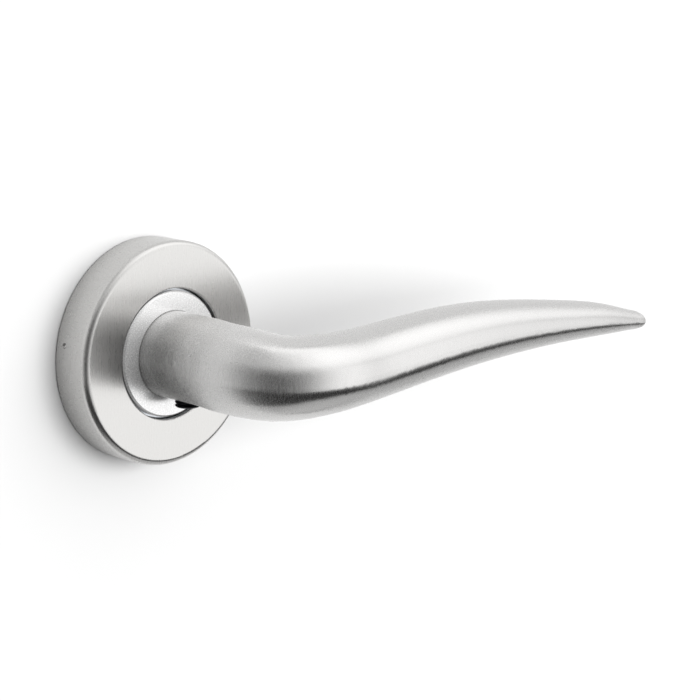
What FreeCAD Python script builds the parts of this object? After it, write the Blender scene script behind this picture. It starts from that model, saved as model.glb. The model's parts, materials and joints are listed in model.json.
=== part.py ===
"""Door lever handle on a round sprung rose, for one side of a door.

Sizes are in millimetres. Every piece is first drawn in a bench frame, lying on its back: X is the
way the grip points, Y is up the door and Z stands out from the door face. save() then tips it
upright into the frame of the finished part: X along the grip, Y into the door, Z up, with the
origin on the spindle's axis in the plane of the door face. Heights below, such as PLATE_T or
COLLAR_TOP, are distances out from the door face, and turns are degrees about the spindle's axis.
"""

import FreeCAD, Part
import math
import os

from FreeCAD import Vector

PAST = 1.0               # how far a cutting shape runs past the face that it cuts
SAME = 0.01              # sizes and places this close are taken as the same

# ---- rose ------------------------------------------------------------------------------------
ROSE_R = 26.0            # the cover's outside radius
ROSE_H = 10.0            # the cover's height off the door
COVER_WALL = 1.2
COVER_EDGE_R = 1.5       # rounding of the cover's front edge
COVER_LIP_R = 0.3        # rounding of its hole and back rim
COVER_HOLE_R = 15.2
DIMPLE_TURN = 170.4      # first of three punched dimples, counted round from the grip's side
DIMPLE_Z = 2.7
DIMPLE_R = 0.65
DIMPLE_IN_R = 24.55      # how far in the dimples' humps reach
DIMPLE_OUT_R = 26.1      # where the balls that dent them are centred

PLATE_R = 24.4
PLATE_T = 3.3
RIM_R = 22.7             # inside radius of the plate's rim
RIM_TOP = 5.2
HUB_R = 13.0
HUB_TOP = 6.1
BUSH_R = 12.0
FLANGE_R = 13.1
FLANGE_T = 0.5
RECESS_R = 13.2          # pocket in the plate's back for the washer and the circlip
RECESS_T = 2.2

CLIP_RING_R = 23.95      # wire ring that the cover's dimples snap over
CLIP_RING_Z = 4.0
CLIP_WIRE_R = 0.5
CLIP_PLAY = 0.05         # room round the wire in its groove
CLIP_GAP_HALF = 2.5      # half of the gap between the ring's two ends
CLIP_GAP_TURN = -50.0

# ---- neck and what turns with it --------------------------------------------------------------
NECK_R = 10.0
NECK_BACK = 0.3          # the neck stops short of the door face
NECK_STRAIGHT = 20.0
RUNNING_GAP = 0.05       # radial play of the neck in its bush
TOUCH_GAP = 0.03         # play left between faces that meet and part again
CAM_LOW = 7.2
CAM_TOP = 8.2
CAM_R = 15.0
COLLAR_R = 14.6
COLLAR_TOP = 9.75
COLLAR_EDGE = 0.4
KEY_W = 3.0
KEY_DEPTH = 1.25
KEY_PLAY = 0.05

CIRCLIP_LOW = 0.5
CIRCLIP_TOP = 1.5
CIRCLIP_SEAT_R = 9.5
CIRCLIP_R = 12.2
WASHER_LOW = 1.55
WASHER_TOP = 2.15
WASHER_IN_R = 10.1
WASHER_OUT_R = 13.0
CIRCLIP_GAP_HALF = 25.0  # half of its opening, in degrees
EYE_AT_R = 11.6          # the two eyes that the pliers go into
EYE_R = 1.4
EYE_HOLE_R = 0.6

WAVE_T = 0.2
WAVE_IN_R = 10.4
WAVE_OUT_R = 12.8
WAVES = 3
WAVE_POINTS = 36         # points on each edge of the wave washer

# ---- spindle and its set screw ----------------------------------------------------------------
SPINDLE_W = 8.0
SPINDLE_HOLE_W = 8.1
SPINDLE_BEVEL = 0.6
SPINDLE_FRONT = 26.0
SPINDLE_BACK = -49.0
SPINDLE_HOLE_TOP = 28.0
SET_SCREW_R = 3.0        # of its hole in the neck
SET_SCREW_CREST_R = 2.95
SET_SCREW_ROOT_R = 2.5
SET_SCREW_POINT_R = 1.8
SET_SCREW_PITCH = 1.0
SET_SCREW_Z = 15.0
SET_SCREW_OUT = 1.3      # how far it stands out under the neck
SET_SCREW_KEY = 3.0      # across the flats of its hexagon socket
SET_SCREW_SOCKET = 3.5   # depth of the socket
SET_SCREW_BEVEL = 0.3
SET_SCREW_CONE_T = 0.7

# ---- stops and return spring ------------------------------------------------------------------
TURN = 45.0              # the lever's travel
ARM_TURN = 112.5         # where the cam's arm stands at rest
ARM_HALF_W = 1.3
ARM_IN_R = 15.6
ARM_OUT_R = 19.4
ARM_TAB_LOW = 3.9
PIN_R = 1.2
PIN_FOOT = 1.2
PIN_BEVEL = 0.3
STOP_PIN_R = 18.2        # distance out along the arm at which the stop pins stand
STOP_PIN_TOP = 7.6
ANCHOR_TOP = 6.4
ANCHOR_PIN_R = 16.7      # distance out along the anchored leg at which its pin stands

WIRE_R = 0.75
SPRING_R = 14.2
SPRING_LOW = 4.2         # height of the wire's centre at the anchored end
SPRING_HIGH = 6.3
SPRING_POINTS = 24       # spans between the points of the coil's curve
ANCHOR_LEG_TURN = 225.0
ANCHOR_LEG_R = 17.8
MOVING_LEG_R = 16.95
LEG_BEND_R = 1.5

# ---- fixings ----------------------------------------------------------------------------------
FIXING_R = 19.0          # half of the usual 38 mm between fixing centres
POST_R = 3.75
POST_HOLE_R = 3.8
POST_SHOULDER = 0.9
POST_SPIGOT_R = 2.6
POST_RIVET_R = 3.4
POST_RIVET_T = 0.7
POST_BACK = -9.5
POST_TAP_R = 1.65        # tapping size of an M4 thread
POST_TAP_DEPTH = 11.0
POST_BEVEL = 0.5
TAP_BEVEL = 0.4
WOOD_HEAD_R = 3.5
WOOD_HOLE_R = 2.1
WOOD_CORE_R = 1.45
WOOD_CREST_R = 1.95
WOOD_CONE_T = 1.8
WOOD_TIP = -16.0
WOOD_POINT_R = 0.15
WOOD_POINT_T = 3.5       # length of its point
WOOD_PITCH = 1.8
WOOD_CREST_AT = 0.5      # share of the pitch from a ridge's foot to its crest
WOOD_FOOT_AT = 0.7       # share of the pitch to its other foot
HEAD_PLAY = 0.1          # room round the screw's head
CROSS_HALF_W = 0.4
CROSS_HALF_LENGTH = 1.9
CROSS_DEPTH = 1.3

# ---- grip -------------------------------------------------------------------------------------
# Its centreline leaves the neck, turns through the bend and runs on GRIP_OUT from the door.
BEND_R = 14.0
GRIP_OUT = 43.0
NECK_SECTIONS = [        # out from the door, up
    (20.0, 0.0),
    (23.0, -0.1),
    (26.0, -0.3),
]
BEND_SECTIONS = [        # degrees round the bend, up, half height and half depth
    (20.0, -0.6, 10.0, 10.0),
    (45.0, -1.3, 9.65, 9.65),
    (70.0, -1.35, 9.3, 9.3),
]
GRIP_SECTIONS = [        # along X, up, half height, half depth
    (25.0, -1.35, 8.75, 8.75),
    (45.0, -0.05, 8.35, 8.4),
    (65.0, 0.75, 7.7, 8.1),
    (85.0, 0.3, 6.6, 7.35),
    (105.0, -1.0, 5.35, 6.55),
    (120.0, -2.45, 4.35, 5.8),
    (130.0, -3.8, 3.3, 4.85),
    (139.3, -5.15, 2.25, 3.65),
]
TIP_FALL = -0.15         # slope of the centreline at the tip
TIP_EDGE_R = 1.3
TIP_RING_TURNS = (0, 25, 50, 72, 90)   # degrees round the tip's edge at which it has a section


# ---- small helpers ----------------------------------------------------------------------------
def disc(r, low, high):
    return Part.makeCylinder(r, high - low, Vector(0, 0, low))


def tube(r_in, r_out, low, high):
    return disc(r_out, low, high).cut(disc(r_in, low - PAST, high + PAST))


def rod(r, x, y, low, high):
    return Part.makeCylinder(r, high - low, Vector(x, y, low))


def block(x0, x1, y0, y1, z0, z1):
    return Part.makeBox(x1 - x0, y1 - y0, z1 - z0, Vector(x0, y0, z0))


def polar(r, turn):
    return r * math.cos(math.radians(turn)), r * math.sin(math.radians(turn))


def turned(shape, turn):
    """A copy of the shape, turned about the spindle's axis."""
    copy = shape.copy()
    copy.rotate(Vector(0, 0, 0), Vector(0, 0, 1), turn)
    return copy


def fused(shapes):
    return shapes[0].multiFuse(shapes[1:]).removeSplitter()


def lathe(profile):
    """A solid turned about Z from (radius, height) corners."""
    corners = [Vector(r, 0, z) for r, z in profile]
    face = Part.Face(Part.makePolygon(corners + corners[:1]))
    return face.revolve(Vector(0, 0, 0), Vector(0, 0, 1), 360)


def moved(shape, x, y):
    copy = shape.copy()
    copy.translate(Vector(x, y, 0))
    return copy


def round_edges(shape, size, radius, height, make="fillet"):
    """Rounds or bevels the full circles of this radius at this height."""
    picked = []
    for edge in shape.Edges:
        curve = edge.Curve
        if not isinstance(curve, Part.Circle):
            continue
        same_size = abs(curve.Radius - radius) < SAME
        if same_size and abs(curve.Center.z - height) < SAME:
            picked.append(edge)
    if make == "fillet":
        return shape.makeFillet(size, picked)
    return shape.makeChamfer(size, picked)


def hexagon(across_flats, low, high):
    corner_r = across_flats / math.sqrt(3)
    corners = [Vector(*polar(corner_r, 60 * i), low) for i in range(7)]
    return Part.Face(Part.makePolygon(corners)).extrude(Vector(0, 0, high - low))


# ---- the rose ---------------------------------------------------------------------------------
def rose_cover():
    cup = disc(ROSE_R, 0, ROSE_H).cut(disc(ROSE_R - COVER_WALL, -PAST, ROSE_H - COVER_WALL))
    cup = cup.cut(disc(COVER_HOLE_R, 0, ROSE_H + PAST))
    cup = round_edges(cup, COVER_EDGE_R, ROSE_R, ROSE_H)
    cup = round_edges(cup, COVER_LIP_R, COVER_HOLE_R, ROSE_H)
    cup = round_edges(cup, COVER_LIP_R, ROSE_R, 0)
    mid_wall = ROSE_R - COVER_WALL / 2
    for i in range(3):
        turn = DIMPLE_TURN + 120 * i
        hump_r = 2 * DIMPLE_R
        hump = Part.makeSphere(hump_r, Vector(DIMPLE_IN_R + hump_r, 0, DIMPLE_Z))
        hump = hump.common(disc(mid_wall, 0, ROSE_H))
        dent = Part.makeSphere(DIMPLE_R, Vector(DIMPLE_OUT_R, 0, DIMPLE_Z))
        cup = cup.fuse(turned(hump, turn)).cut(turned(dent, turn))
    return cup


def base_plate():
    plate = disc(PLATE_R, 0, RIM_TOP).cut(disc(RIM_R, PLATE_T, RIM_TOP + PAST))
    plate = plate.fuse(disc(HUB_R, 0, HUB_TOP))
    plate = plate.cut(disc(BUSH_R, -PAST, HUB_TOP + PAST)).cut(disc(RECESS_R, -PAST, RECESS_T))
    groove_half = CLIP_WIRE_R + CLIP_PLAY
    groove_low, groove_high = CLIP_RING_Z - groove_half, CLIP_RING_Z + groove_half
    plate = plate.cut(tube(CLIP_RING_R - groove_half, PLATE_R + PAST, groove_low, groove_high))
    for side in (-1, 1):
        plate = plate.cut(moved(post_seat(), 0, side * FIXING_R))
        plate = plate.cut(moved(wood_screw_seat(), side * FIXING_R, 0))
    for x, y in pin_places():
        plate = plate.cut(rod(PIN_R, x, y, PIN_FOOT, PLATE_T + PAST))
    return plate


def bearing_bush():
    sleeve = tube(NECK_R + RUNNING_GAP, BUSH_R, RECESS_T, HUB_TOP)
    flange = tube(NECK_R + RUNNING_GAP, FLANGE_R, HUB_TOP, HUB_TOP + FLANGE_T)
    return fused([sleeve, flange])


def cover_clip_ring():
    """A split wire ring in the groove of the plate's rim."""
    ring = Part.makeTorus(CLIP_RING_R, CLIP_WIRE_R, Vector(0, 0, CLIP_RING_Z))
    gap = block(0, ROSE_R, -CLIP_GAP_HALF, CLIP_GAP_HALF, 0, ROSE_H)
    return ring.cut(turned(gap, CLIP_GAP_TURN))


def wave_washer():
    """A thin spring washer with three waves, drawn from four closed edges."""
    low = HUB_TOP + FLANGE_T
    middle = (low + CAM_LOW) / 2
    swing = (CAM_LOW - low) / 2 - WAVE_T / 2 - TOUCH_GAP

    def ring_edge(r, height):
        points = []
        for i in range(WAVE_POINTS):
            turn = 360 * i / WAVE_POINTS
            x, y = polar(r, turn)
            points.append(Vector(x, y, height + swing * math.sin(math.radians(WAVES * turn))))
        curve = Part.BSplineCurve()
        curve.interpolate(Points=points, PeriodicFlag=True)
        return curve.toShape()

    corners = [(WAVE_IN_R, -WAVE_T / 2), (WAVE_OUT_R, -WAVE_T / 2), (WAVE_OUT_R, WAVE_T / 2),
               (WAVE_IN_R, WAVE_T / 2)]
    edges = [ring_edge(r, middle + height) for r, height in corners]
    faces = [Part.makeRuledSurface(a, b) for a, b in zip(edges, edges[1:] + edges[:1])]
    shell = Part.makeShell(faces)
    shell.sewShape()
    return Part.makeSolid(shell)


# ---- pieces that turn with the lever ------------------------------------------------------------
def grip_stations():
    """(centre, half height, half depth) at each design section, from the neck to the tip."""
    bend_start = GRIP_OUT - BEND_R
    stations = [(Vector(0, up, out), NECK_R, NECK_R) for out, up in NECK_SECTIONS]
    for turn, up, half_h, half_d in BEND_SECTIONS:
        before_end, past_start = polar(BEND_R, turn)
        stations.append((Vector(BEND_R - before_end, up, bend_start + past_start), half_h, half_d))
    for along, up, half_h, half_d in GRIP_SECTIONS:
        stations.append((Vector(along, up, GRIP_OUT), half_h, half_d))
    return stations


def grip_ring(centre, tangent, half_h, half_d):
    """One oval section, square to the centreline: the halves of a unit circle, stretched."""
    sideways = tangent.cross(Vector(0, 1, 0)).normalize()
    upwards = sideways.cross(tangent).normalize()
    circle = Part.Circle(Vector(0, 0, 0), Vector(0, 0, 1), 1)
    halves = []
    for start in (0, math.pi):
        arc = Part.ArcOfCircle(circle, start, start + math.pi).toNurbs()
        poles = []
        for pole in arc.getPoles():
            poles.append(centre + sideways * (half_d * pole.x) + upwards * (half_h * pole.y))
        half = Part.BSplineCurve()
        half.buildFromPolesMultsKnots(
            poles, arc.getMultiplicities(), arc.getKnots(), False, arc.Degree, arc.getWeights())
        halves.append(half.toShape())
    return Part.Wire(halves)


def grip():
    """The bend and the tapering wave-shaped grip, lofted through oval sections."""
    stations = grip_stations()
    knots = [0.0]
    for (a, _, _), (b, _, _) in zip(stations, stations[1:]):
        knots.append(knots[-1] + (b - a).Length)
    centreline = Part.BSplineCurve()
    centreline.interpolate(
        Points=[centre for centre, _, _ in stations], Parameters=knots,
        InitialTangent=Vector(0, 0, 1), FinalTangent=Vector(1, TIP_FALL, 0), Scale=False)
    sizes = Part.BSplineCurve()
    size_points = [Vector(half_h, half_d, u) for u, (_, half_h, half_d) in zip(knots, stations)]
    sizes.interpolate(Points=size_points, Parameters=knots)
    edge_start = knots[-1] - TIP_EDGE_R
    knots[-1] = edge_start
    places = []
    for a, b in zip(knots, knots[1:]):
        places += [(a, 0), ((a + b) / 2, 0)]
    for turn in TIP_RING_TURNS:
        inwards, ahead = polar(TIP_EDGE_R, turn)
        places.append((edge_start + ahead, TIP_EDGE_R - inwards))
    rings = []
    for u, inset in places:
        size = sizes.value(u)
        tangent = centreline.tangent(u)[0]
        rings.append(grip_ring(centreline.value(u), tangent, size.x - inset, size.y - inset))
    return Part.makeLoft(rings, True)


def lever():
    body = fused([disc(NECK_R, NECK_BACK, NECK_STRAIGHT), grip()])
    half = SPINDLE_HOLE_W / 2
    body = body.cut(block(-half, half, -half, half, -PAST, SPINDLE_HOLE_TOP))
    screw_hole = Part.makeCylinder(
        SET_SCREW_R, NECK_R + PAST, Vector(0, 0, SET_SCREW_Z), Vector(0, -1, 0))
    body = body.cut(screw_hole)
    body = body.cut(tube(CIRCLIP_SEAT_R, NECK_R + PAST, CIRCLIP_LOW, CIRCLIP_TOP))
    for turn in (0, 180):
        keyway = block(NECK_R - KEY_DEPTH, NECK_R + PAST, -KEY_W / 2, KEY_W / 2, 0, CAM_TOP)
        body = body.cut(turned(keyway, turn))
    return body


def collar():
    ring = tube(NECK_R, COLLAR_R, CAM_TOP, COLLAR_TOP)
    ring = round_edges(ring, COLLAR_EDGE, COLLAR_R, COLLAR_TOP, "bevel")
    return round_edges(ring, COLLAR_EDGE / 2, NECK_R, COLLAR_TOP, "bevel")


def drive_cam():
    """A pressed plate keyed to the neck, with an arm whose bent tab meets the stops."""
    plate = tube(NECK_R, CAM_R, CAM_LOW, CAM_TOP)
    key_half = KEY_W / 2 - KEY_PLAY
    key_in = NECK_R - KEY_DEPTH + KEY_PLAY
    keys = []
    for turn in (0, 180):
        key = block(key_in, NECK_R + PAST, -key_half, key_half, CAM_LOW, CAM_TOP)
        keys.append(turned(key, turn))
    arm = block(CAM_R - PAST, ARM_OUT_R, -ARM_HALF_W, ARM_HALF_W, CAM_LOW, CAM_TOP)
    tab = block(ARM_IN_R, ARM_OUT_R, -ARM_HALF_W, ARM_HALF_W, ARM_TAB_LOW, CAM_TOP)
    return fused([plate] + keys + [turned(arm, ARM_TURN), turned(tab, ARM_TURN)])


def circlip():
    """The clip that holds the neck in the rose, with two eyes for the pliers."""
    ring = tube(CIRCLIP_SEAT_R, CIRCLIP_R, CIRCLIP_LOW, CIRCLIP_TOP)
    eye_turns = (-90 - CIRCLIP_GAP_HALF, -90 + CIRCLIP_GAP_HALF)
    far = 2 * CIRCLIP_R
    mouth = [Vector(0, 0, 0)] + [Vector(*polar(far, turn), 0) for turn in eye_turns]
    mouth = Part.Face(Part.makePolygon(mouth + mouth[:1]))
    ring = ring.cut(mouth.extrude(Vector(0, 0, CIRCLIP_TOP + PAST)))
    neck_room = disc(NECK_R + RUNNING_GAP, 0, CIRCLIP_TOP + PAST)
    for turn in eye_turns:
        x, y = polar(EYE_AT_R, turn)
        ring = ring.fuse(rod(EYE_R, x, y, CIRCLIP_LOW, CIRCLIP_TOP).cut(neck_room))
        ring = ring.cut(rod(EYE_HOLE_R, x, y, 0, CIRCLIP_TOP + PAST))
    return ring.removeSplitter()


def thrust_washer():
    return tube(WASHER_IN_R, WASHER_OUT_R, WASHER_LOW, WASHER_TOP)


def spindle():
    half = SPINDLE_W / 2
    bar = block(-half, half, -half, half, SPINDLE_BACK, SPINDLE_FRONT)
    long_edges = [edge for edge in bar.Edges if edge.Length > 2 * SPINDLE_W]
    end_edges = [edge for edge in bar.Edges if abs(edge.CenterOfMass.z - SPINDLE_BACK) < SAME]
    return bar.makeChamfer(SPINDLE_BEVEL, long_edges + end_edges)


def set_screw():
    """A grub screw drawn standing up, then laid so that its socket faces down."""
    tip_z, end_z = SPINDLE_W / 2, NECK_R + SET_SCREW_OUT
    bevel_z = end_z - SET_SCREW_BEVEL
    z = tip_z + SET_SCREW_CONE_T
    profile = [(0, tip_z), (SET_SCREW_POINT_R, tip_z), (SET_SCREW_ROOT_R, z)]
    while z + SET_SCREW_PITCH < bevel_z:
        profile.append((SET_SCREW_CREST_R, z + SET_SCREW_PITCH / 2))
        z += SET_SCREW_PITCH
        profile.append((SET_SCREW_ROOT_R, z))
    profile += [(SET_SCREW_CREST_R, bevel_z), (SET_SCREW_CREST_R - SET_SCREW_BEVEL, end_z), (0, end_z)]
    screw = lathe(profile).cut(hexagon(SET_SCREW_KEY, end_z - SET_SCREW_SOCKET, end_z + PAST))
    screw.rotate(Vector(0, 0, 0), Vector(1, 0, 0), 90)
    screw.translate(Vector(0, 0, SET_SCREW_Z))
    return screw


# ---- return spring and its pins ----------------------------------------------------------------
def beside_arm(distance):
    """How many degrees a point at STOP_PIN_R along the arm turns to stand this far beside it."""
    return math.degrees(math.atan2(distance, STOP_PIN_R))


def pin_places():
    """(x, y) of the rest stop, the open stop and the spring's anchor pin."""
    clear = ARM_HALF_W + PIN_R + TOUCH_GAP
    aside = beside_arm(clear)
    pin_at = math.hypot(STOP_PIN_R, clear)
    rest_stop = polar(pin_at, ARM_TURN + aside)
    open_stop = polar(pin_at, ARM_TURN - TURN - aside)
    anchor_aside = math.degrees(math.asin((WIRE_R + PIN_R + TOUCH_GAP) / ANCHOR_PIN_R))
    anchor = polar(ANCHOR_PIN_R, ANCHOR_LEG_TURN - anchor_aside)
    return [rest_stop, open_stop, anchor]


def pin(place, top):
    x, y = place
    body = rod(PIN_R, x, y, PIN_FOOT, top)
    return round_edges(body, PIN_BEVEL, PIN_R, top, "bevel")


def moving_leg_turn():
    """The moving leg lies against the arm's side that faces the open stop."""
    beside = math.asin((ARM_HALF_W + WIRE_R + TOUCH_GAP) / ARM_IN_R)
    return ARM_TURN - math.degrees(beside)


def spring_leg(turn, reach, height, side):
    """A straight leg and the small bend that joins it to the coil, on this side of the leg."""
    bend_at = math.sqrt((SPRING_R + LEG_BEND_R) ** 2 - LEG_BEND_R ** 2)
    centre = Vector(bend_at, side * LEG_BEND_R, height)
    meet = Vector(*polar(SPRING_R, side * leg_bend_turn()), height)
    leg_foot = Vector(bend_at, 0, height)
    halfway = centre + ((meet - centre) + (leg_foot - centre)).normalize() * LEG_BEND_R
    edges = [Part.Arc(meet, halfway, leg_foot).toShape()]
    edges.append(Part.LineSegment(leg_foot, Vector(reach, 0, height)).toShape())
    return [turned(edge, turn) for edge in edges]


def leg_bend_turn():
    """Degrees between a leg and the end of the coil."""
    return math.degrees(math.asin(LEG_BEND_R / (SPRING_R + LEG_BEND_R)))


def return_spring():
    """A coil round the hub, wound the way that closes it when the lever is pressed down."""
    first = ANCHOR_LEG_TURN - leg_bend_turn()
    sweep = first + 360 - moving_leg_turn() - leg_bend_turn()
    shares = [i / SPRING_POINTS for i in range(SPRING_POINTS + 1)]
    points = []
    for share in shares:
        x, y = polar(SPRING_R, first - sweep * share)
        rise = (SPRING_HIGH - SPRING_LOW) * (1 - math.cos(math.pi * share)) / 2
        points.append(Vector(x, y, SPRING_LOW + rise))
    coil = Part.BSplineCurve()
    coil.interpolate(
        Points=points, Parameters=[math.radians(sweep) * share for share in shares],
        InitialTangent=Vector(*polar(SPRING_R, first - 90), 0),
        FinalTangent=Vector(*polar(SPRING_R, first - sweep - 90), 0), Scale=False)
    anchor_leg = spring_leg(ANCHOR_LEG_TURN, ANCHOR_LEG_R, SPRING_LOW, -1)
    moving_leg = spring_leg(moving_leg_turn(), MOVING_LEG_R, SPRING_HIGH, 1)
    path = Part.Wire(Part.__sortEdges__(anchor_leg + [coil.toShape()] + moving_leg))
    leg_end = Vector(*polar(ANCHOR_LEG_R, ANCHOR_LEG_TURN), SPRING_LOW)
    section = Part.Wire(Part.makeCircle(WIRE_R, leg_end, Vector(*polar(1, ANCHOR_LEG_TURN), 0)))
    return path.makePipeShell([section], True, False)


# ---- fixings ----------------------------------------------------------------------------------
def post_outline(body_r, spigot_r, rivet_r, back):
    rivet_low = PLATE_T - POST_RIVET_T
    return lathe([
        (0, back), (body_r, back), (body_r, POST_SHOULDER), (spigot_r, POST_SHOULDER),
        (spigot_r, rivet_low), (rivet_r, PLATE_T), (0, PLATE_T),
    ])


def post_seat():
    return post_outline(POST_HOLE_R, POST_SPIGOT_R, POST_RIVET_R, -PAST)


def bolt_post(side):
    """A tapped post riveted into the plate; a bolt from the far side of the door enters it."""
    post = post_outline(POST_R, POST_SPIGOT_R, POST_RIVET_R, POST_BACK)
    post = round_edges(post, POST_BEVEL, POST_R, POST_BACK, "bevel")
    post = post.cut(disc(POST_TAP_R, POST_BACK - PAST, POST_BACK + POST_TAP_DEPTH))
    post = round_edges(post, TAP_BEVEL, POST_TAP_R, POST_BACK, "bevel")
    return moved(post, 0, side * FIXING_R)


def wood_screw_seat():
    cone_low = PLATE_T - WOOD_CONE_T
    head_hole_r = WOOD_HEAD_R + HEAD_PLAY
    return lathe([
        (0, -PAST), (WOOD_HOLE_R, -PAST), (WOOD_HOLE_R, cone_low), (head_hole_r, PLATE_T),
        (head_hole_r, PLATE_T + PAST), (0, PLATE_T + PAST),
    ])


def wood_screw(side):
    """A countersunk screw with a cross recess; its thread is a row of ridges."""
    cone_low = PLATE_T - WOOD_CONE_T
    z = WOOD_TIP + WOOD_POINT_T
    profile = [(0, WOOD_TIP), (WOOD_POINT_R, WOOD_TIP), (WOOD_CORE_R, z)]
    while z + WOOD_PITCH < 0:
        profile.append((WOOD_CREST_R, z + WOOD_PITCH * WOOD_CREST_AT))
        profile.append((WOOD_CORE_R, z + WOOD_PITCH * WOOD_FOOT_AT))
        z += WOOD_PITCH
        profile.append((WOOD_CORE_R, z))
    profile += [(WOOD_CORE_R, cone_low), (WOOD_HEAD_R, PLATE_T), (0, PLATE_T)]
    screw = lathe(profile)
    slot = block(-CROSS_HALF_LENGTH, CROSS_HALF_LENGTH, -CROSS_HALF_W, CROSS_HALF_W,
                 PLATE_T - CROSS_DEPTH, PLATE_T + PAST)
    for turn in (45, 135):
        screw = screw.cut(turned(slot, turn))
    return moved(screw, side * FIXING_R, 0)


# ---- output -----------------------------------------------------------------------------------
def save(name, shape):
    upright = shape.Solids[0].copy()
    upright.rotate(Vector(0, 0, 0), Vector(1, 0, 0), 90)
    if len(shape.Solids) != 1 or not upright.isValid():
        raise ValueError(name + " is not one valid solid")
    upright.exportStep("parts/" + name + ".step")
    print(name, round(upright.Volume, 1), "mm3")


def main():
    os.makedirs("parts", exist_ok=True)
    rest_stop, open_stop, anchor = pin_places()
    pieces = {
        "rose_cover": rose_cover(),
        "base_plate": base_plate(),
        "bearing_bush": bearing_bush(),
        "cover_clip_ring": cover_clip_ring(),
        "wave_washer": wave_washer(),
        "lever": lever(),
        "collar": collar(),
        "drive_cam": drive_cam(),
        "circlip": circlip(),
        "thrust_washer": thrust_washer(),
        "spindle": spindle(),
        "set_screw": set_screw(),
        "return_spring": return_spring(),
        "stop_pin_rest": pin(rest_stop, STOP_PIN_TOP),
        "stop_pin_open": pin(open_stop, STOP_PIN_TOP),
        "spring_anchor_pin": pin(anchor, ANCHOR_TOP),
        "bolt_post_upper": bolt_post(1),
        "bolt_post_lower": bolt_post(-1),
        "wood_screw_left": wood_screw(-1),
        "wood_screw_right": wood_screw(1),
    }
    for name, shape in pieces.items():
        save(name, shape)


main()
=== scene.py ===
"""Looks of a door lever handle on a round rose: satin stainless steel in a white light tent.

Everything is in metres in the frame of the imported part: X along the grip, Y into the door, Z up,
with the origin on the spindle's axis in the plane of the door face.
"""

import json
import math

import bmesh
import bpy
from mathutils import Matrix, Vector
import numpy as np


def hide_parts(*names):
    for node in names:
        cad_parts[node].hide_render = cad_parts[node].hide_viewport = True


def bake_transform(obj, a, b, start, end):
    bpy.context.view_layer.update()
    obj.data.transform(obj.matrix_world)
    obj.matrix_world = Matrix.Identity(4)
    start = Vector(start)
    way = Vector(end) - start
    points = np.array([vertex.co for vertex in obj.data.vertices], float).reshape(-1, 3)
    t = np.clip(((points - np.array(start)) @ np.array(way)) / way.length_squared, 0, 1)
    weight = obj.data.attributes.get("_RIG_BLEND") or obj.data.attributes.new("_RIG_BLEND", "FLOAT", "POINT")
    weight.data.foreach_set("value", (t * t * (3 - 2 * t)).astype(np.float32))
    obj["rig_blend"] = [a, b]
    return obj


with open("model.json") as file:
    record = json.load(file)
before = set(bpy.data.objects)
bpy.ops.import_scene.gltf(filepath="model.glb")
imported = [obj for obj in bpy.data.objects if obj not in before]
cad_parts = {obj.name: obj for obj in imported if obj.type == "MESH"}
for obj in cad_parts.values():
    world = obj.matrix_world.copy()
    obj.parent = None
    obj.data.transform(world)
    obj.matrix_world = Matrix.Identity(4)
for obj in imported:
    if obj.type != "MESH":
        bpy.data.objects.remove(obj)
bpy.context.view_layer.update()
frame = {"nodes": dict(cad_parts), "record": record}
nodes = frame["nodes"]
scene = bpy.context.scene

# ---- camera -----------------------------------------------------------------------------------
CAMERA_AZIMUTH = -41.81       # degrees; minus is towards the rose's side of the grip
CAMERA_ELEVATION = 11.90
CAMERA_DISTANCE = 0.4423      # from the origin
CAMERA_YAW = 6.203            # degrees that the camera turns from the origin towards the grip
CAMERA_PITCH = 0.078
CAMERA_LENS = 97.71
CAMERA_SENSOR = 36.0

# ---- backdrop ---------------------------------------------------------------------------------
WALL_GAP = 0.0002             # how far the wall stands behind the rose's back face
WALL_SIZE = 6.0
WALL_PAINT = 0.62
DOOR_BORE_R = 0.024           # lets light in behind the rose, which hides the bore from the room
FLOOR_SIZE = 2.4
FLOOR_Z = -0.22
FLOOR_PAINT = 0.80

# ---- light tent -------------------------------------------------------------------------------
# Brightnesses, and the spans in degrees of azimuth or elevation over which one passes to the next.
CLOTH = 0.8                   # multiplies every brightness below
OPENING_DARK = 0.10
BESIDE_OPENING = 1.05
OPENING_LEFT = (-110, -42)
OPENING_RIGHT = (-28, 42)
FRONT_CLOTH = 2.35
SIDE_CLOTH = 1.15
FRONT_TO_SIDE = (56, 64)
ROOF_CLOTH = 2.45
ROOF_OVER_CAMERA = 0.85
ROOF_ACROSS = (-40, 30)
ROOF_FOOT = 0.84              # share of the roof's brightness at its lower edge
ROOF_FOOT_SPAN = (14, 42)
ROOF_TOP = 0.86               # share of it overhead
ROOF_TOP_SPAN = (50, 80)
SEAM_LOW = 12                 # elevation at which the front cloth starts to pass to the roof
SEAM_HIGH = (44, 17)          # elevation at which it has passed, over each end of SEAM_ACROSS
SEAM_ACROSS = (0, 50)
GAP_DARK = 0.06
GAP_SPAN = (-27, -22)
BASE_CLOTH = 0.95
BASE_LEFT = 0.48
BASE_ACROSS = (-60, 45)
BASE_EDGE_HIGH = (-70, -33)   # elevation of the base's far edge, over each end of BASE_EDGE_ACROSS
BASE_EDGE_ACROSS = (-38, 62)
BASE_EDGE = 0.03              # half of the edge's softness, in radians
DOOR_SEAM = 0.68
DOOR_SEAM_SPAN = (74, 88)
LEFT_GREY = 0.56
LEFT_SHADE = (0.55, 1.5)      # low and high shares of it, over each end of LEFT_UPWARDS
LEFT_UPWARDS = (-60, 50)
LEFT_SPAN = (-112, -82)

# ---- key light --------------------------------------------------------------------------------
KEY_AZIMUTH = 13.0
KEY_ELEVATION = 8.0
KEY_DISTANCE = 2.0
KEY_WIDTH = 2.6
KEY_HEIGHT = 1.2
KEY_POWER = 50.0

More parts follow.
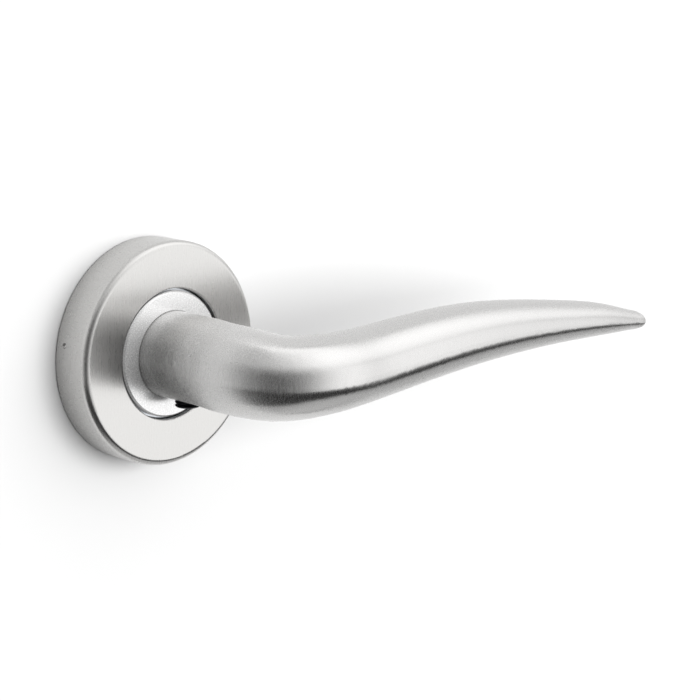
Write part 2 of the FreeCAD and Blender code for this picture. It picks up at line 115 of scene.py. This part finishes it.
# ---- return spring ----------------------------------------------------------------------------
COIL_R = 0.0142
COIL_WIRE_R = 0.00075
COIL_LOW = 0.0042             # distance of the wire's centre off the door at the anchored leg
COIL_HIGH = 0.0063            # and at the moving leg
COIL_SPANS = 156
ANCHOR_LEG_TURN = math.radians(225.0)
ANCHOR_LEG_REACH = 0.0178
MOVING_LEG_TURN = math.radians(104.8)
MOVING_LEG_REACH = 0.01695
LEG_BEND_R = 0.0015
LEG_SPANS = 4
BEND_SPANS = 8
WIRE_SIDES = 16

BEND_CENTRE = (0.014, -0.029)   # X and Y of the centre of the lever's bend


# ---- node helpers -------------------------------------------------------------------------------
class Tree:
    """A node tree with short calls for the nodes that this script uses."""

    def __init__(self, tree):
        self.tree = tree
        tree.nodes.clear()

    def node(self, kind, **settings):
        made = self.tree.nodes.new(kind)
        for name, value in settings.items():
            setattr(made, name, value)
        return made

    def put(self, socket, value):
        if isinstance(value, bpy.types.NodeSocket):
            self.tree.links.new(value, socket)
        elif value is not None:
            socket.default_value = value

    def math(self, operation, a, b=None, c=None):
        made = self.node("ShaderNodeMath", operation=operation)
        for socket, value in zip(made.inputs, (a, b, c)):
            self.put(socket, value)
        return made.outputs[0]

    def vector(self, operation, a, b=None):
        made = self.node("ShaderNodeVectorMath", operation=operation)
        self.put(made.inputs[0], a)
        self.put(made.inputs[1], b)
        return made.outputs["Vector"]

    def split(self, vector):
        made = self.node("ShaderNodeSeparateXYZ")
        self.put(made.inputs[0], vector)
        return made.outputs

    def join(self, x, y, z):
        made = self.node("ShaderNodeCombineXYZ")
        for socket, value in zip(made.inputs, (x, y, z)):
            self.put(socket, value)
        return made.outputs[0]

    def step(self, value, low, high, at_low=0.0, at_high=1.0):
        """A smooth step from at_low to at_high as value goes from low to high."""
        made = self.node("ShaderNodeMapRange", interpolation_type="SMOOTHSTEP")
        for socket, given in zip(made.inputs, (value, low, high, at_low, at_high)):
            self.put(socket, given)
        return made.outputs[0]

    def linear(self, value, low, high, at_low, at_high):
        """A straight, clamped run from at_low to at_high as value goes from low to high."""
        made = self.node("ShaderNodeMapRange", interpolation_type="LINEAR", clamp=True)
        for socket, given in zip(made.inputs, (value, low, high, at_low, at_high)):
            self.put(socket, given)
        return made.outputs[0]

    def blend(self, factor, a, b):
        """The number a at factor 0, b at factor 1."""
        made = self.node("ShaderNodeMix", data_type="FLOAT")
        self.put(made.inputs[0], factor)
        self.put(made.inputs[2], a)
        self.put(made.inputs[3], b)
        return made.outputs[0]

    def mix(self, factor, a, b):
        made = self.node("ShaderNodeMix", data_type="RGBA")
        self.put(made.inputs["Factor"], factor)
        for name, value in (("A", a), ("B", b)):
            socket = [s for s in made.inputs if s.name == name and s.type == "RGBA"][0]
            self.put(socket, tuple(value) + (1.0,) if isinstance(value, tuple) else value)
        return [s for s in made.outputs if s.type == "RGBA"][0]

    def noise(self, vector, scale, detail, roughness):
        made = self.node("ShaderNodeTexNoise")
        self.put(made.inputs["Vector"], vector)
        made.inputs["Scale"].default_value = scale
        made.inputs["Detail"].default_value = detail
        made.inputs["Roughness"].default_value = roughness
        return made.outputs["Fac"]


def grey(value):
    return (value, value, value, 1.0)


# ---- camera and studio ------------------------------------------------------------------------
def direction(azimuth, elevation):
    """The unit vector out from the door, azimuth and elevation in degrees."""
    azimuth, elevation = math.radians(azimuth), math.radians(elevation)
    return Vector((
        math.sin(azimuth) * math.cos(elevation),
        -math.cos(azimuth) * math.cos(elevation),
        math.sin(elevation),
    ))


def add_camera():
    back = direction(CAMERA_AZIMUTH, CAMERA_ELEVATION)
    right = Vector((0, 0, 1)).cross(back).normalized()
    up = back.cross(right)
    aim = Matrix((right, up, back)).transposed()
    turn = Matrix.Rotation(math.radians(-CAMERA_YAW), 3, "Y")
    tilt = Matrix.Rotation(math.radians(-CAMERA_PITCH), 3, "X")
    data = bpy.data.cameras.new("camera")
    data.lens, data.sensor_width = CAMERA_LENS, CAMERA_SENSOR
    camera = bpy.data.objects.new("camera", data)
    camera.matrix_world = Matrix.Translation(back * CAMERA_DISTANCE) @ (aim @ turn @ tilt).to_4x4()
    scene.collection.objects.link(camera)
    scene.camera = camera


def tent(t):
    """The tent's brightness by direction. Azimuths are counted from straight out of the door."""
    x, y, z = t.split(t.node("ShaderNodeTexCoord").outputs["Generated"])
    azimuth = t.math("ARCTAN2", x, t.math("MULTIPLY", y, -1.0))
    elevation = t.math("ARCSINE", z)

    def across(span, at_low, at_high):
        return t.step(azimuth, math.radians(span[0]), math.radians(span[1]), at_low, at_high)

    def upwards(span, at_low=0.0, at_high=1.0):
        return t.step(elevation, math.radians(span[0]), math.radians(span[1]), at_low, at_high)

    # level with the handle: a dark opening where the camera stands, then the big front cloth
    level = across(OPENING_LEFT, BESIDE_OPENING, OPENING_DARK)
    level = t.math("ADD", level, across(OPENING_RIGHT, 0.0, FRONT_CLOTH - OPENING_DARK))
    level = t.math("SUBTRACT", level, across(FRONT_TO_SIDE, 0.0, FRONT_CLOTH - SIDE_CLOTH))
    # overhead: dimmer above the camera, with a seam where the front cloth meets the roof
    roof = across(ROOF_ACROSS, ROOF_OVER_CAMERA, ROOF_CLOTH)
    roof = t.math("MULTIPLY", roof, upwards(ROOF_TOP_SPAN, 1.0, ROOF_TOP))
    roof = t.math("MULTIPLY", roof, upwards(ROOF_FOOT_SPAN, ROOF_FOOT, 1.0))
    seam = across(SEAM_ACROSS, math.radians(SEAM_HIGH[0]), math.radians(SEAM_HIGH[1]))
    light = t.blend(t.step(elevation, math.radians(SEAM_LOW), seam), level, roof)
    # low down: a dark gap between the cloth's lower edge and the pale base
    light = t.blend(upwards(GAP_SPAN), GAP_DARK, light)
    base_edge = t.linear(
        azimuth, *(math.radians(angle) for angle in BASE_EDGE_ACROSS + BASE_EDGE_HIGH))
    drop = t.math("SUBTRACT", elevation, base_edge)
    base = across(BASE_ACROSS, BASE_LEFT, BASE_CLOTH)
    light = t.blend(t.step(drop, -BASE_EDGE, BASE_EDGE), base, light)
    # beside the door: a dim seam on the right, and on the left a grey that is darker low down
    light = t.math("MULTIPLY", light, across(DOOR_SEAM_SPAN, 1.0, DOOR_SEAM))
    left = t.math("MULTIPLY", upwards(LEFT_UPWARDS, *LEFT_SHADE), LEFT_GREY)
    return t.blend(across(LEFT_SPAN, 1.0, 0.0), light, left)


def add_world():
    """The tent lights the object, and the camera sees plain white behind it."""
    world = bpy.data.worlds.new("light_tent")
    world.use_nodes = True
    t = Tree(world.node_tree)
    lit = t.node("ShaderNodeBackground")
    lit.inputs["Color"].default_value = grey(CLOTH)
    t.put(lit.inputs["Strength"], tent(t))
    seen = t.node("ShaderNodeBackground")
    seen.inputs["Color"].default_value = grey(1.0)
    mixed = t.node("ShaderNodeMixShader")
    t.put(mixed.inputs[0], t.node("ShaderNodeLightPath").outputs["Is Camera Ray"])
    t.put(mixed.inputs[1], lit.outputs[0])
    t.put(mixed.inputs[2], seen.outputs[0])
    out = t.node("ShaderNodeOutputWorld")
    t.put(out.inputs["Surface"], mixed.outputs[0])
    scene.world = world


def add_key_light():
    """A softbox that lights the wall and the plastics, and isn't mirrored in the steel."""
    towards = direction(KEY_AZIMUTH, KEY_ELEVATION)
    data = bpy.data.lights.new("key_light", "AREA")
    data.shape, data.energy = "RECTANGLE", KEY_POWER
    data.size, data.size_y = KEY_WIDTH, KEY_HEIGHT
    light = bpy.data.objects.new("key_light", data)
    light.location = towards * KEY_DISTANCE
    light.rotation_euler = towards.to_track_quat("Z", "Y").to_euler()
    light.visible_glossy = False
    light.visible_camera = False
    scene.collection.objects.link(light)


def plane(name, corners, material):
    mesh = bpy.data.meshes.new(name)
    mesh.from_pydata(corners, [], [tuple(range(len(corners)))])
    made = bpy.data.objects.new(name, mesh)
    mesh.materials.append(material)
    scene.collection.objects.link(made)
    return made


def add_backdrop():
    """The door's white face, bored behind the rose and seen from the front only, and a floor."""
    wall_paint = bpy.data.materials.new("wall_paint")
    wall_paint.use_nodes = True
    t = Tree(wall_paint.node_tree)
    paint = t.node("ShaderNodeBsdfDiffuse")
    paint.inputs["Color"].default_value = grey(WALL_PAINT)
    clear = t.node("ShaderNodeBsdfTransparent")
    mixed = t.node("ShaderNodeMixShader")
    x, _, z = t.split(t.node("ShaderNodeTexCoord").outputs["Object"])
    from_centre = t.math("SQRT", t.math("MULTIPLY_ADD", x, x, t.math("MULTIPLY", z, z)))
    bored = t.math("LESS_THAN", from_centre, DOOR_BORE_R)
    behind = t.node("ShaderNodeNewGeometry").outputs["Backfacing"]
    t.put(mixed.inputs[0], t.math("MAXIMUM", behind, bored))
    t.put(mixed.inputs[1], paint.outputs[0])
    t.put(mixed.inputs[2], clear.outputs[0])
    out = t.node("ShaderNodeOutputMaterial")
    t.put(out.inputs["Surface"], mixed.outputs[0])
    half = WALL_SIZE / 2
    y = WALL_GAP
    corners = [(-half, y, -half), (half, y, -half), (half, y, half), (-half, y, half)]
    plane("wall", corners, wall_paint)

    floor_paint = bpy.data.materials.new("floor_paint")
    floor_paint.use_nodes = True
    t = Tree(floor_paint.node_tree)
    paint = t.node("ShaderNodeBsdfDiffuse")
    paint.inputs["Color"].default_value = grey(FLOOR_PAINT)
    out = t.node("ShaderNodeOutputMaterial")
    t.put(out.inputs["Surface"], paint.outputs[0])
    half = FLOOR_SIZE / 2
    z = FLOOR_Z
    corners = [(-half, -half, z), (half, -half, z), (half, half, z), (-half, half, z)]
    floor = plane("floor", corners, floor_paint)
    floor.visible_diffuse = False
    floor.visible_glossy = False
    floor.visible_shadow = False


# ---- materials ----------------------------------------------------------------------------------
def material(name, colour, metallic, anisotropic=0.0):
    """A Principled material; returns it with its tree and its shader node."""
    made = bpy.data.materials.new(name)
    made.use_nodes = True
    made.diffuse_color = tuple(colour) + (1.0,)
    t = Tree(made.node_tree)
    shader = t.node("ShaderNodeBsdfPrincipled")
    shader.inputs["Base Color"].default_value = tuple(colour) + (1.0,)
    shader.inputs["Metallic"].default_value = metallic
    shader.inputs["Anisotropic"].default_value = anisotropic
    out = t.node("ShaderNodeOutputMaterial")
    t.put(out.inputs["Surface"], shader.outputs[0])
    return made, t, shader


def own_place(t, stretch=(1.0, 1.0, 1.0)):
    """The point on the piece at rest, stretched so that a pattern runs along the short factors."""
    place = t.node("ShaderNodeTexCoord").outputs["Object"]
    return t.vector("MULTIPLY", place, stretch)


def vary(t, shader, pattern, colour, spread, roughness, rough_spread, bump):
    """Lets a 0 to 1 pattern shade the colour, the roughness and the surface a little."""
    low = tuple(c * (1 - spread) for c in colour)
    high = tuple(min(1.0, c * (1 + spread)) for c in colour)
    t.put(shader.inputs["Base Color"], t.mix(pattern, low, high))
    t.put(shader.inputs["Roughness"],
          t.math("MULTIPLY_ADD", pattern, 2 * rough_spread, roughness - rough_spread))
    raised = t.node("ShaderNodeBump")
    raised.inputs["Strength"].default_value = 1.0
    raised.inputs["Distance"].default_value = bump
    t.put(raised.inputs["Height"], pattern)
    t.put(shader.inputs["Normal"], raised.outputs[0])


def to_world(t, direction):
    """A direction fixed to the piece, as the shader's tangent wants it."""
    made = t.node("ShaderNodeVectorTransform", vector_type="VECTOR", convert_from="OBJECT",
                  convert_to="WORLD")
    t.put(made.inputs[0], direction)
    return made.outputs[0]


def satin_rose():
    """Brushed upright, so its reflections spread sideways."""
    colour = (0.53, 0.525, 0.515)
    made, t, shader = material("satin_rose", colour, 1.0, anisotropic=0.85)
    grain = t.noise(own_place(t, (1.0, 0.3, 0.04)), scale=5500.0, detail=4.0, roughness=0.75)
    vary(t, shader, grain, colour, spread=0.07, roughness=0.28, rough_spread=0.04, bump=0.0000004)
    t.put(shader.inputs["Tangent"], to_world(t, t.join(1.0, 0.0, 0.0)))
    return made


def satin_collar():
    """Part diffuse, in place of a finish that isn't known."""
    colour = (0.70, 0.70, 0.70)
    made, t, shader = material("satin_collar", colour, 0.6)
    grain = t.noise(own_place(t), scale=6000.0, detail=3.0, roughness=0.6)
    vary(t, shader, grain, colour, spread=0.03, roughness=0.27, rough_spread=0.03, bump=0.0000005)
    return made


def satin_lever():
    """Brushed round its section, so its reflections spread along the neck, bend and grip."""
    colour = (0.575, 0.57, 0.565)
    made, t, shader = material("satin_lever", colour, 1.0, anisotropic=0.95)
    x, y, _ = t.split(own_place(t))
    past_bend = t.math("MINIMUM", t.math("SUBTRACT", x, BEND_CENTRE[0]), 0.0)
    out_of_neck = t.math("MINIMUM", t.math("SUBTRACT", y, BEND_CENTRE[1]), 0.0)
    along = t.join(t.math("MULTIPLY", out_of_neck, -1.0), past_bend, 0.0)
    t.put(shader.inputs["Tangent"], to_world(t, t.vector("NORMALIZE", along)))
    streaks = t.noise(own_place(t, (1.0, 1.0, 0.10)), scale=3000.0, detail=3.0, roughness=0.7)
    grain = t.step(streaks, 0.35, 0.65)
    vary(t, shader, grain, colour, spread=0.03, roughness=0.265, rough_spread=0.02, bump=0.0000001)
    return made


def plain_finish(name, colour, roughness, scale, spread=0.06, rough_spread=0.06, bump=0.000004,
                metallic=1.0):
    """An even finish, with a noise of this scale; the nylons have metallic 0."""
    made, t, shader = material(name, colour, metallic)
    pattern = t.noise(own_place(t), scale, detail=4.0, roughness=0.6)
    vary(t, shader, pattern, colour, spread, roughness, rough_spread, bump)
    return made


def add_materials():
    made = {
        "satin_rose": satin_rose(),
        "satin_collar": satin_collar(),
        "satin_lever": satin_lever(),
        "black_steel": plain_finish("black_steel", (0.035, 0.035, 0.04), 0.38, 3000.0),
        "zinc_steel": plain_finish("zinc_steel", (0.60, 0.62, 0.65), 0.34, 900.0, 0.10, 0.08),
        "zinc_casting": plain_finish(
            "zinc_casting", (0.44, 0.45, 0.46), 0.52, 2500.0, 0.10, 0.08, 0.00003),
        "black_nylon": plain_finish(
            "black_nylon", (0.028, 0.028, 0.03), 0.48, 4000.0, 0.1, 0.05, 0.00001, metallic=0.0),
        "white_nylon": plain_finish(
            "white_nylon", (0.76, 0.75, 0.71), 0.42, 4000.0, 0.03, 0.05, 0.00001, metallic=0.0),
        "spring_wire": plain_finish("spring_wire", (0.36, 0.36, 0.37), 0.28, 5000.0),
        "bright_pin": plain_finish("bright_pin", (0.66, 0.66, 0.66), 0.22, 5000.0, 0.04, 0.04),
        "bright_screw": plain_finish("bright_screw", (0.63, 0.65, 0.68), 0.26, 1500.0, 0.08, 0.06),
    }
    for part in frame["record"]["subparts"]:
        for slot in nodes[part["node"]].material_slots:
            slot.link = "OBJECT"
            slot.material = made[part["material_slot"]]


def round_turn(radius, turn, depth):
    """A point this far off the door and this far from the spindle's axis, turned from +X to +Z."""
    return Vector((radius * math.cos(turn), -depth, radius * math.sin(turn)))


def leg_path(turn, reach, depth, side):
    """Points of a spring leg, from its free end in to the coil, on this side of the leg."""
    bend_at = math.sqrt((COIL_R + LEG_BEND_R) ** 2 - LEG_BEND_R ** 2)
    outwards, across = round_turn(1.0, turn, 0.0), round_turn(side, turn + math.pi / 2, 0.0)
    level = Vector((0.0, -depth, 0.0))
    spread = math.acos(LEG_BEND_R / (COIL_R + LEG_BEND_R))
    points = []
    for i in range(LEG_SPANS):
        points.append(level + outwards * (reach + (bend_at - reach) * i / LEG_SPANS))
    centre = outwards * bend_at + across * LEG_BEND_R
    for i in range(BEND_SPANS + 1):
        round_bend = spread * i / BEND_SPANS
        points.append(level + centre - outwards * (LEG_BEND_R * math.sin(round_bend))
                      - across * (LEG_BEND_R * math.cos(round_bend)))
    return points


def spring_path():
    """The wire's centreline from the anchored leg to the moving leg, with each point's share of
    the way round."""
    bend_turn = math.asin(LEG_BEND_R / (COIL_R + LEG_BEND_R))
    first = ANCHOR_LEG_TURN - bend_turn
    sweep = first + 2 * math.pi - MOVING_LEG_TURN - bend_turn   # a full turn and the rest
    anchored = leg_path(ANCHOR_LEG_TURN, ANCHOR_LEG_REACH, COIL_LOW, -1.0)
    moving = leg_path(MOVING_LEG_TURN, MOVING_LEG_REACH, COIL_HIGH, 1.0)
    coil = []
    for i in range(1, COIL_SPANS):
        share = i / COIL_SPANS
        rise = (COIL_HIGH - COIL_LOW) * (1 - math.cos(math.pi * share)) / 2
        coil.append((round_turn(COIL_R, first - sweep * share, COIL_LOW + rise), share))
    return [(p, 0.0) for p in anchored] + coil + [(p, 1.0) for p in reversed(moving)]


def add_spring():
    """The return spring as a swept wire that winds up with the lever, in place of the rigid one."""
    path = spring_path()
    points = [p for p, _ in path]
    shape = bmesh.new()
    rings = []
    for i, here in enumerate(points):
        along = (points[min(i + 1, len(points) - 1)] - points[max(i - 1, 0)]).normalized()
        flat = along.cross(Vector((0.0, 1.0, 0.0))).normalized()
        over = flat.cross(along)
        rings.append([
            shape.verts.new(here + (flat * math.cos(a) + over * math.sin(a)) * COIL_WIRE_R)
            for a in (2 * math.pi * k / WIRE_SIDES for k in range(WIRE_SIDES))
        ])
    for ring, following in zip(rings, rings[1:]):
        for k in range(WIRE_SIDES):
            after = (k + 1) % WIRE_SIDES
            shape.faces.new((ring[k], ring[after], following[after], following[k])).smooth = True
    shape.faces.new(rings[0][::-1])
    shape.faces.new(rings[-1])
    bmesh.ops.recalc_face_normals(shape, faces=shape.faces)
    mesh = bpy.data.meshes.new("wound_spring")
    shape.to_mesh(mesh)
    shape.free()
    wire = bpy.data.objects.new("wound_spring", mesh)
    scene.collection.objects.link(wire)
    mesh.materials.append(bpy.data.materials["spring_wire"])
    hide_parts("return_spring")
    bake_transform(wire, "rose", "lever", start=(0.0, -COIL_LOW, 0.0), end=(0.0, -COIL_HIGH, 0.0))
    # one weight for each ring of the wire, so that winding turns a ring and doesn't shear it
    weights = [share for _, share in path for _ in range(WIRE_SIDES)]
    mesh.attributes["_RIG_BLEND"].data.foreach_set("value", weights)


add_camera()
add_world()
add_key_light()
add_backdrop()
add_materials()
add_spring()
scene.view_settings.view_transform = "Standard"
